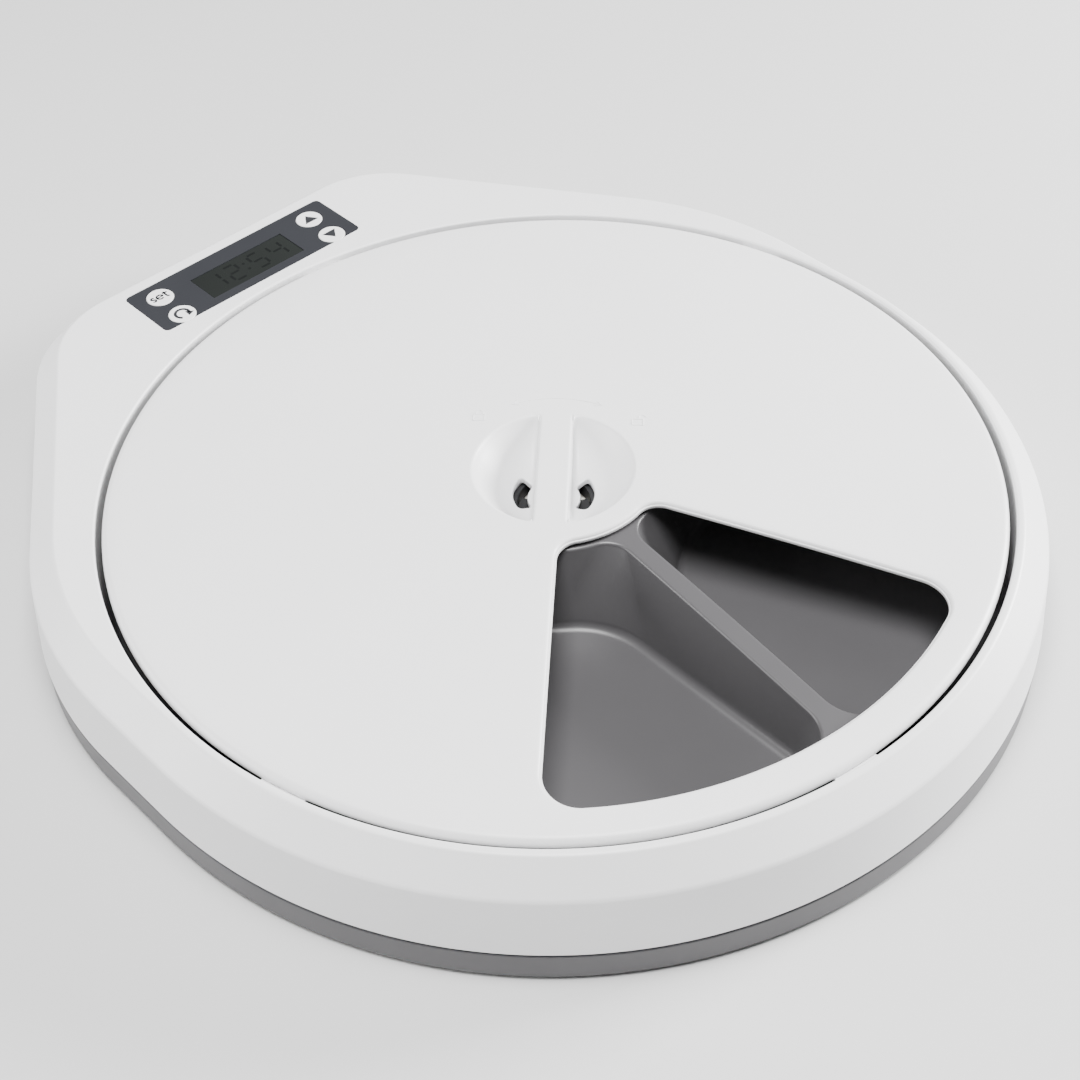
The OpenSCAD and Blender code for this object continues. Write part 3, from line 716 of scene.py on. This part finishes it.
def lid_top(x, y):
    """Height of the lid's upper surface: dome, finger bowl and the grip bar across it."""
    r = math.hypot(x, y)
    top = dome(r)
    if r > BOWL_ZONE_R:
        return top
    a = math.radians(GRIP_DIR)
    across = abs(-x * math.sin(a) + y * math.cos(a))
    along = abs(x * math.cos(a) + y * math.sin(a))
    deep = bowl(r) if r < BOWL_R + 3 else top + 5
    depth = max(0.0, dome(0) - bowl(min(BOWL_R, math.hypot(along, GRIP_WALL_OUT))))
    edge = min(GRIP_EDGE_R, depth * 0.6)
    if across <= GRIP_HALF_W + 1e-6:
        return top - quarter(edge, GRIP_HALF_W - across) if depth > 0 else top
    hollow = deep + quarter(GRIP_FOOT_R, across - GRIP_WALL_OUT)
    return blend_low(top, hollow, 1.1)


def lid_under(x, y):
    """Height of the lid's lower surface."""
    r = math.hypot(x, y)
    flat = dome(r) - LID_T
    if r > BOWL_ZONE_R:
        return flat
    ball_r = BOWL_BALL_R + BOWL_WALL
    deep = bowl(r, ball_r) if r < ball_r - 0.5 else flat + 5
    return blend_low(flat, deep, 1.5)


def edge_offsets(r):
    """How far in from its edge each ring of a rounding of radius r lies."""
    return [r * (1 - math.cos(math.radians(a))) for a in EDGE_STEPS]


def slot_outline(side, grow):
    """Ring-shaped slot in the bowl, on one side of the grip bar, grown by grow."""
    r0, r1, corner = SLOT_IN_R - grow, SLOT_OUT_R + grow, SLOT_CORNER_R + grow
    end_r = 10.6
    reach = SLOT_HALF + math.degrees(grow / end_r)
    b = reach - math.degrees(math.asin(corner / (r1 - corner)))
    g = reach - math.degrees(math.asin(corner / (r0 + corner)))
    points = (
        arc((0, 0), r1, -b, b, 14, last=False)
        + arc(polar(r1 - corner, b), corner, b, reach + 90, 5)
        + arc(polar(r0 + corner, g), corner, reach + 90, 180 + g, 5, last=False)
        + arc((0, 0), r0, g, -g, 10, last=False)
        + arc(polar(r0 + corner, -g), corner, 180 - g, 270 - reach, 5)
        + arc(polar(r1 - corner, -b), corner, -reach - 90, -b, 5, last=False)
    )
    return turned(points, GRIP_DIR + side * 90)


def opening_outline(grow):
    """The lid's wedge opening, grown by grow."""
    points = wedge(
        OPENING_OUT_R + grow,
        COLLAR_R - grow,
        OPENING_HALF,
        OPENING_INSET - grow,
        OPENING_OUT_CORNER_R + grow,
        OPENING_IN_CORNER_R + grow,
        n=16,
    )
    return turned(points, OPENING_DIR)


def lid_points():
    """Points that carry the lid's surface between its edges: a plain grid, finer in the bowl."""
    points = []
    step, grid_in_r, rim_out_r = 3.6, BOWL_ZONE_R + 0.5, 31
    reach = int(LID_R / step)
    for i in range(-reach, reach + 1):
        for j in range(-reach, reach + 1):
            x, y = (i + 0.5 * (j % 2)) * step, j * step * 0.866
            if grid_in_r < math.hypot(x, y) < LID_R - 5:
                points.append((x, y))
    a = math.radians(GRIP_DIR)
    c, s = math.cos(a), math.sin(a)
    bar = [0, 1.5, 3, GRIP_HALF_W, GRIP_WALL_OUT]
    bar += [GRIP_HALF_W - t for t in (1.4, 0.9, 0.75, 0.6, 0.4, 0.2, 0.07)]
    bar += [GRIP_WALL_OUT + GRIP_FOOT_R * t for t in (0.04, 0.12, 0.25, 0.4, 0.6, 0.8, 1)]
    bar += [8.9 + k for k in range(19)]
    for v in sorted(set(bar + [-v for v in bar])):
        for k in range(-40, 41):
            u = k * 0.8
            r = math.hypot(u, v)
            if r < BOWL_R - 2.2 or (abs(v) <= GRIP_WALL_OUT + 0.1 and r < rim_out_r):
                points.append((u * c - v * s, u * s + v * c))
    rim_steps = (-1.9, -1.5, -1.1, -0.8, -0.5, -0.2, 0.1, 0.4, 0.7, 1.0, 1.4, 2, 3, 4.2, 5.6, 7)
    for r in [BOWL_R + t for t in rim_steps]:
        for k in range(200):
            p = polar(r, k * 1.8)
            v = -p[0] * s + p[1] * c
            if abs(v) > GRIP_WALL_OUT + 0.4 or r > rim_out_r:
                points.append((p[0], p[1]))
    return points


def lid():
    """White lid: one closed shell with rounded outer edge, wedge opening, bowl, grip bar and slots."""
    rim_r, edge_r, slot_r = 2.4, 1.35, 0.5
    under_r, rim_under_r, far = 0.87, 0.3, 99.0
    families = [([circle(0, 0, LID_R - t, 420) for t in edge_offsets(rim_r)], rim_r)]
    families.append(([opening_outline(OPENING_STEP + t) for t in edge_offsets(edge_r)], edge_r))
    for side in (1, -1):
        families.append(([slot_outline(side, t) for t in edge_offsets(slot_r)], slot_r))

    verts, edges, drops = [], [], []
    for loops, r in families:
        for t, loop in zip(edge_offsets(r), loops):
            start, n = len(verts), len(loop)
            verts += [Vector((p[0], p[1])) for p in loop]
            edges += [(start + i, start + (i + 1) % n) for i in range(n)]
            drops += [(quarter(r, t), t)] * n
    free = np.array(lid_points())
    keep = np.hypot(free[:, 0], free[:, 1]) < LID_R - rim_r - 1
    keep &= ~inside(free, opening_outline(OPENING_STEP + edge_r + 1.2))
    for side in (1, -1):
        keep &= ~inside(free, slot_outline(side, slot_r + 0.35))
    free = free[keep]
    verts += [Vector(p) for p in free]
    drops += [(0.0, far)] * len(free)

    flat, _, tris, origin, _, _ = geometry.delaunay_2d_cdt(verts, edges, [], 0, 1e-5)
    middle = middles(flat, tris)
    solid = inside(middle, families[0][0][0])
    for loops, _ in families[1:]:
        solid &= ~inside(middle, loops[0])
    tris = [t for t, ok in zip(tris, solid) if ok]

    top, low = [], []
    for k, p in enumerate(flat):
        fall, t = drops[origin[k][0]] if origin[k] else (0.0, far)
        top.append((p[0], p[1], lid_top(p[0], p[1]) - fall))
        from_edge = LID_R - math.hypot(p[0], p[1])
        if from_edge < LID_RIM_W:
            low.append((p[0], p[1], LID_RIM_Z + quarter(rim_under_r, from_edge)))
        else:
            low.append((p[0], p[1], lid_under(p[0], p[1]) + quarter(under_r, t)))
    n = len(flat)
    faces = [tuple(t) for t in tris] + [tuple(n + i for i in reversed(t)) for t in tris]
    count = {}
    for t in tris:
        for i in range(len(t)):
            e = (t[i], t[(i + 1) % len(t)])
            count[e] = count.get(e, 0) + 1
    for a, b in count:
        if (b, a) not in count:
            faces.append((b, a, n + a, n + b))
    shell = new_piece("lid_shell", top + low, faces, WHITE, "lid", smooth_angle=50)
    drop_loose(shell)
    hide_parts("lid")


def opening_lip():
    """Step round the lid's opening: rings below the upper surface, then rings above the lower one."""
    loops = []
    for grow, depth in ((0.7, 1.3), (0.15, 1.3), (0.04, 1.34), (0, 1.5)):
        loops.append([(p[0], p[1], lid_top(*p) - depth) for p in opening_outline(grow)])
    for grow, rise in ((0, 0.25), (0.25, 0), (0.7, 0)):
        loops.append([(p[0], p[1], lid_under(*p) + rise) for p in opening_outline(grow)])
    faces = ring_faces(len(loops), len(loops[0]), wrap=True)
    verts = [p for loop in loops for p in loop]
    new_piece("opening_lip", verts, faces, WHITE, "lid", smooth_angle=50)


def lid_socket():
    """Short tube under the bowl that holds the lock ring."""
    in_r, out_r, edge_r = 14.3, 16.2, 0.4
    low_z, out_z, in_z = LID[0].z, 37.0, 36.2
    corners = [(in_r, low_z, edge_r), (out_r, low_z, edge_r), (out_r, out_z, 0), (in_r, in_z, 0)]
    verts, faces = lathe(round_profile(corners), 96)
    new_piece("lid_socket", verts, faces, WHITE, "lid")


def ribbon_on_lid(name, centreline, width, closed=False):
    """Thin raised line that follows the lid's dome."""
    rise, sunk = 0.16, 0.15
    section = ((-1, -sunk), (-1, rise * 0.5), (-0.6, rise), (0.6, rise), (1, rise * 0.5), (1, -sunk))
    points = [np.array(p, float) for p in centreline]
    n = len(points)
    verts = []
    for k, p in enumerate(points):
        before = points[k - 1] if k or closed else p
        after = points[(k + 1) % n] if k < n - 1 or closed else p
        along = (after - before) / np.linalg.norm(after - before)
        side = np.array([-along[1], along[0]]) * width / 2
        for s, h in section:
            q = p + side * s
            verts.append((q[0], q[1], dome(math.hypot(q[0], q[1])) + h))
    around = len(section)
    faces = ring_faces(n, around, wrap=True) if closed else capped_faces(n, around)
    new_piece(name, verts, faces, WHITE, "lid")


def lid_marks():
    """Raised padlock marks and the turning arrow beside the bowl."""
    mark_r, width = 35.5, 0.55
    arrow_r, start_dir, end_dir = mark_r - 0.6, 19.5, 68.5
    ribbon_on_lid("turn_arc", arc((0, 0), arrow_r, start_dir, end_dir, 40), width)
    for name, a, turn in (("turn_head_a", end_dir, 1), ("turn_head_b", start_dir, -1)):
        tip = polar(arrow_r, a + turn * 1.5)
        wings = [polar(arrow_r + s * 1.2, a - turn * 2.2) for s in (-1, 1)]
        ribbon_on_lid(name, [wings[0], tip, wings[1]], width)
    for name, a, opened in (("locked_mark", 89.6, False), ("unlocked_mark", -4.8, True)):
        centre = polar(mark_r + 1, a)
        away = GRIP_DIR + 180
        body = turned([(-1.9, -2.6), (1.9, -2.6), (1.9, 0.4), (-1.9, 0.4)], away + 90)
        ribbon_on_lid(name, [centre + p for p in body], width, closed=True)
        shift = 1.6 if opened else 0.0
        shackle = [(shift - 1.2, 0.4)] + arc((shift, 1.4), 1.2, 180, 0, 10)
        shackle += [] if opened else [(1.2, 0.4)]
        shackle = turned([np.array(p) for p in shackle], away + 90)
        ribbon_on_lid(name + "_shackle", [centre + p for p in shackle], width)


# ---------------------------------------------------------------- tray


def tray_top(r):
    """Height of the tray's top, which follows the lid's dome."""
    return dome(r) - LID_T - TRAY_GAP


def pocket_outline(d, t):
    """Outline of a compartment, drawn in by d, at a share t of the way down to its rounder foot."""
    return wedge(
        POCKET_OUT_R - d - POCKET_OUT_DRAFT * t,
        POCKET_IN_R + d + POCKET_IN_DRAFT * t,
        POCKET_HALF + FOOT_TURN * t,
        DIVIDER_HALF_W + d + DIVIDER_FOOT_W * t,
        POCKET_OUT_CORNER_R - d,
        POCKET_IN_CORNER_R + FOOT_CORNER_GROWTH * t - d,
        n=12,
    )


def pocket_rings():
    """Rings of one compartment's wall, from its rolled edge to its floor."""
    roll, fillet = 1.2, 3.5
    rings = []
    for a in reversed(EDGE_STEPS):
        drop = roll * (1 - math.sin(math.radians(a)))
        outline = pocket_outline(roll * (math.cos(math.radians(a)) - 1), 0)
        rings.append([(p[0], p[1], tray_top(math.hypot(*p)) - drop) for p in outline])
    foot_z = POCKET_FLOOR_Z + fillet
    for t in (0.2, 0.4, 0.6, 0.8):
        outline = pocket_outline(0, t)
        heights = [tray_top(math.hypot(*p)) - roll for p in outline]
        rings.append([(p[0], p[1], z + (foot_z - z) * t) for p, z in zip(outline, heights)])
    for a in EDGE_STEPS:
        z = foot_z - fillet * math.sin(math.radians(a))
        outline = pocket_outline(fillet * (1 - math.cos(math.radians(a))), 1)
        rings.append([(p[0], p[1], z) for p in outline])
    return rings


def tray():
    """Grey food tray: five deep compartments with rolled edges and filleted floors, round a hub."""
    verts, faces, tops = [], [], []
    rings = pocket_rings()
    for k in range(COMPARTMENTS):
        turn = DIVIDER_DIR + POCKET_HALF + 360 * k / COMPARTMENTS
        loops = [[(*q, p[2]) for q, p in zip(turned(ring, turn), ring)] for ring in rings]
        start, n = len(verts), len(loops[0])
        verts += [p for loop in loops for p in loop]
        faces += [tuple(start + i for i in f) for f in ring_faces(len(loops), n)]
        last = start + (len(loops) - 1) * n
        faces.append(tuple(range(last, last + n)))
        tops.append(loops[0])

    rim_z = tray_top(TRAY_R)
    rim_under_z = rim_z - 2.5
    wall_top_r, wall_foot_r, inner_r = 141.3, 137, 60
    outer = round_profile(
        [
            (inner_r, tray_top(inner_r), 0),
            (TRAY_R, rim_z, 1.0),
            (TRAY_R, rim_under_z, 0.6),
            (wall_top_r, rim_under_z, 0.8),
            (wall_foot_r, TRAY_BOTTOM_Z, 2.0),
            (HUB_R, TRAY_BOTTOM_Z, 0.5),
            (HUB_R, WEB_Z, 0.5),
            (WEB_HOLE_R, WEB_Z, 0.3),
            (WEB_HOLE_R, WEB_TOP_Z, 0.3),
            (HUB_R, WEB_TOP_Z, 1.0),
            (HUB_R, tray_top(HUB_R), 1.2),
        ]
    )[1:]
    outer[0] = (outer[0][0], tray_top(outer[0][0]))
    outer[-1] = (outer[-1][0], tray_top(outer[-1][0]))
    n = 360
    turned_verts, _ = lathe(outer, n)
    start = len(verts)
    verts += turned_verts
    faces += [tuple(start + i for i in f) for f in ring_faces(len(outer), n)]
    rim_in, rim_out = turned_verts[:n], turned_verts[-n:]

    loops = [rim_in, rim_out] + tops
    flat, edges = [], []
    for loop in loops:
        first, count = len(flat), len(loop)
        flat += [Vector((p[0], p[1])) for p in loop]
        edges += [(first + i, first + (i + 1) % count) for i in range(count)]
    points, _, tris, _, _, _ = geometry.delaunay_2d_cdt(flat, edges, [], 0, 1e-5)
    middle = middles(points, tris)
    solid = inside(middle, rim_in) & ~inside(middle, rim_out)
    for loop in tops:
        solid &= ~inside(middle, loop)
    start = len(verts)
    verts += [(p[0], p[1], tray_top(math.hypot(p[0], p[1]))) for p in points]
    faces += [tuple(start + i for i in t) for t, ok in zip(tris, solid) if ok]
    bowl_piece = new_piece("tray_bowls", verts, faces, TRAY_GREY, "tray", smooth_angle=40)
    drop_loose(bowl_piece)
    weighted(bowl_piece)
    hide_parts("food_tray")


# ---------------------------------------------------------------- control panel


def flat_mark(name, outline, z, body, material, thick=0.06):
    """Thin printed shape, from its outline in millimetres."""
    n = len(outline)
    verts = [(p[0], p[1], h) for h in (z - thick, z) for p in outline]
    new_piece(name, verts, capped_faces(2, n), material, body, smooth_angle=20)


def band(centre, r, width, a0, a1, n=28):
    """Outline of a curved stroke."""
    return arc(centre, r + width / 2, a0, a1, n) + arc(centre, r - width / 2, a1, a0, n)


def buttons():
    """Round caps with soft edges, each with its printed symbol."""
    ink_z = box_mm("set_button")[1].z + 0.03
    flange_r, flange_z, flange_low_z = BUTTON_R + 1, TOP_Z - 2.9, TOP_Z - 3.9
    pole_r, flat_r, stem_r, edge_r = 0.01, 2.8, 2.5, 0.35
    for key, (x, y) in button_places().items():
        low, high = box_mm(key + "_button")
        profile = [(pole_r, high.z), (flat_r, high.z)]
        profile += rounded((BUTTON_R, high.z), (flat_r, high.z), (BUTTON_R, flange_z), edge_r)
        profile += [(BUTTON_R, flange_z), (flange_r, flange_z), (flange_r, flange_low_z)]
        profile += [(stem_r, flange_low_z), (stem_r, low.z), (pole_r, low.z)]
        verts, faces = lathe(profile, 72, wrap=False, centre=(x, y))
        cap = new_piece(key + "_cap", verts, faces, WHITE_CAP, key + "_key")
        weighted(cap)
        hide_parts(key + "_button")
    places = button_places()

    def mark(name, key, outline):
        """Printed shape on one button's top."""
        x, y = places[key]
        shape = [(x + p[0], y + p[1]) for p in outline]
        flat_mark(name, shape, ink_z, key + "_key", ICON_INK)

    mark("up_icon", "up", [(-3.0, -2.0), (3.0, -2.0), (0, 2.4)])
    mark("down_icon", "down", [(3.0, 2.0), (-3.0, 2.0), (0, -2.4)])
    arrow_r, head_dir = 2.6, -36
    mark("feed_icon", "feed", band((0, 0), arrow_r, 1.1, 238, -25))
    head = turned([(0, -1.35), (1.7, 1.1), (-1.7, 1.1)], head_dir)
    head = [polar(arrow_r, head_dir) + p for p in head]
    mark("feed_icon_head", "feed", head)
    stroke = 0.75
    mark("set_s_upper", "set", band((-2.9, 0.62), 0.62, stroke, 20, 270))
    mark("set_s_lower", "set", band((-2.9, -0.62), 0.62, stroke, 90, -160))
    mark("set_e_ring", "set", band((-0.1, 0), 1.25, stroke, 0, 312))
    mark("set_e_bar", "set", round_rect(-0.1, 0, 2.8, stroke * 0.8, 0.1, n=2))
    mark("set_t_stem", "set", round_rect(2.45, 0.5, stroke, 3.0, 0.1, n=2))
    mark("set_t_bar", "set", round_rect(2.65, 1.1, 2.1, stroke * 0.9, 0.1, n=2))
    mark("set_t_foot", "set", band((3.05, -0.85), 0.6, stroke, 180, 290))


def digit_strokes(code, x, y, w, h):
    """Strokes of one seven-segment digit, as rectangles."""
    t, gap = 0.95, 0.22
    places = {
        "a": (x, y + h / 2, w, t),
        "g": (x, y, w, t),
        "d": (x, y - h / 2, w, t),
        "f": (x - w / 2, y + h / 4, t, h / 2),
        "b": (x + w / 2, y + h / 4, t, h / 2),
        "e": (x - w / 2, y - h / 4, t, h / 2),
        "c": (x + w / 2, y - h / 4, t, h / 2),
    }
    out = []
    for s in SEGMENTS[code]:
        cx, cy, sw, sh = places[s]
        trim_w = sw - t - 2 * gap if sw > sh else sw
        trim_h = sh - t - 2 * gap if sh > sw else sh
        out.append(round_rect(cx, cy, trim_w, trim_h, 0.2, n=2))
    return out


def display():
    """Dark display window with a slightly crowned edge and faint seven-segment digits."""
    middle = (WINDOW[0] + WINDOW[1]) / 2
    z0, z1 = WINDOW[0].z, WINDOW[1].z
    rings = []
    for inset, z in ((0, z0), (0, z1 - 0.25), (0.08, z1 - 0.08), (0.25, z1)):
        outline = round_rect(middle.x, middle.y, WINDOW_W - 2 * inset, WINDOW_D - 2 * inset, 0.4)
        rings.append([(p[0], p[1], z) for p in outline])
    verts = [p for ring in rings for p in ring]
    faces = capped_faces(len(rings), len(rings[0]))
    glass = new_piece("display_window", verts, faces, WINDOW_GLASS, "root")
    weighted(glass)
    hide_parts("lcd_window")
    ink_z, ink_t = z1 + 0.03, 0.04
    digit_w, digit_h, dot_r = 5.2, 9.5, 0.6
    for k, (code, dx) in enumerate((("1", -14.5), ("2", -6), ("5", 5), ("4", 14))):
        for s, stroke in enumerate(digit_strokes(code, middle.x + dx, middle.y, digit_w, digit_h)):
            flat_mark(f"digit_{k}_{s}", stroke, ink_z, "root", DIGIT_INK, ink_t)
    for s, dy in enumerate((-2, 2)):
        dot = circle(middle.x - 0.6, middle.y + dy, dot_r, 20)
        flat_mark(f"colon_{s}", dot, ink_z, "root", DIGIT_INK, ink_t)


# ---------------------------------------------------------------- stage


def floor_material():
    """Matt pale floor with a faint drift of tone."""
    material = bpy.data.materials.new("floor")
    material.use_nodes = True
    nodes, links = material.node_tree.nodes, material.node_tree.links
    shader = nodes["Principled BSDF"]
    noise = nodes.new("ShaderNodeTexNoise")
    noise.inputs["Scale"].default_value = 6
    ramp = nodes.new("ShaderNodeValToRGB")
    ramp.color_ramp.elements[0].color = (0.58, 0.58, 0.58, 1)
    ramp.color_ramp.elements[1].color = (0.62, 0.62, 0.62, 1)
    links.new(noise.outputs["Fac"], ramp.inputs["Fac"])
    links.new(ramp.outputs["Color"], shader.inputs["Base Color"])
    shader.inputs["Roughness"].default_value = 0.9
    return material


def stage():
    """Pale floor and soft studio light."""
    bpy.ops.mesh.primitive_plane_add(size=60, location=(0, 0, 0))
    floor = bpy.context.object
    floor.name = "floor"
    floor.data.materials.append(floor_material())

    world = bpy.data.worlds.new("studio")
    bpy.context.scene.world = world
    world.use_nodes = True
    world.node_tree.nodes["Background"].inputs["Color"].default_value = (1, 1, 1, 1)
    world.node_tree.nodes["Background"].inputs["Strength"].default_value = 0.3

    def area(name, place, size, power):
        """Soft rectangular light, in metres and watts, that points at the feeder."""
        data = bpy.data.lights.new(name, "AREA")
        data.shape = "RECTANGLE"
        data.size, data.size_y = size
        data.energy = power
        obj = bpy.data.objects.new(name, data)
        bpy.context.scene.collection.objects.link(obj)
        obj.location = place
        obj.rotation_euler = (-Vector(place)).to_track_quat("-Z", "Y").to_euler()

    area("overhead", (-0.2, -0.2, 1.5), (0.7, 0.7), 52)
    area("right_key", (1.2, -0.5, 0.5), (0.5, 0.5), 62)
    area("left_fill", (-1.1, 0.8, 0.5), (0.8, 0.6), 15)


def camera():
    """Camera at the reference view: turned about the lid's middle, with its small roll and offset."""
    azimuth, elevation, roll = math.radians(-41.98), math.radians(44.32), math.radians(-1.94)
    distance, offset_right, offset_up = 629.7, -4.42, -20.62
    sensor_w, focal_share = 36, 1.768426
    back = Vector(
        (
            math.sin(azimuth) * math.cos(elevation),
            -math.cos(azimuth) * math.cos(elevation),
            math.sin(elevation),
        )
    )
    right = (-back).cross(Vector((0, 0, 1))).normalized()
    up = right.cross(-back)
    right, up = (
        right * math.cos(roll) + up * math.sin(roll),
        up * math.cos(roll) - right * math.sin(roll),
    )
    place = Vector((0, 0, TOP_Z)) + right * offset_right + up * offset_up + back * distance
    data = bpy.data.cameras.new("camera")
    data.sensor_width = sensor_w
    data.lens = sensor_w * focal_share
    data.clip_start, data.clip_end = 0.01, 50
    obj = bpy.data.objects.new("camera", data)
    bpy.context.scene.collection.objects.link(obj)
    turn = Matrix((right, up, back)).transposed().to_4x4()
    obj.matrix_world = Matrix.Translation(place * MM) @ turn
    bpy.context.scene.camera = obj


stage()
camera()
dress_cad_nodes()
housing()
lid_tabs()
base()
screw_collars()
lid()
opening_lip()
lid_socket()
lid_marks()
tray()
buttons()
display()
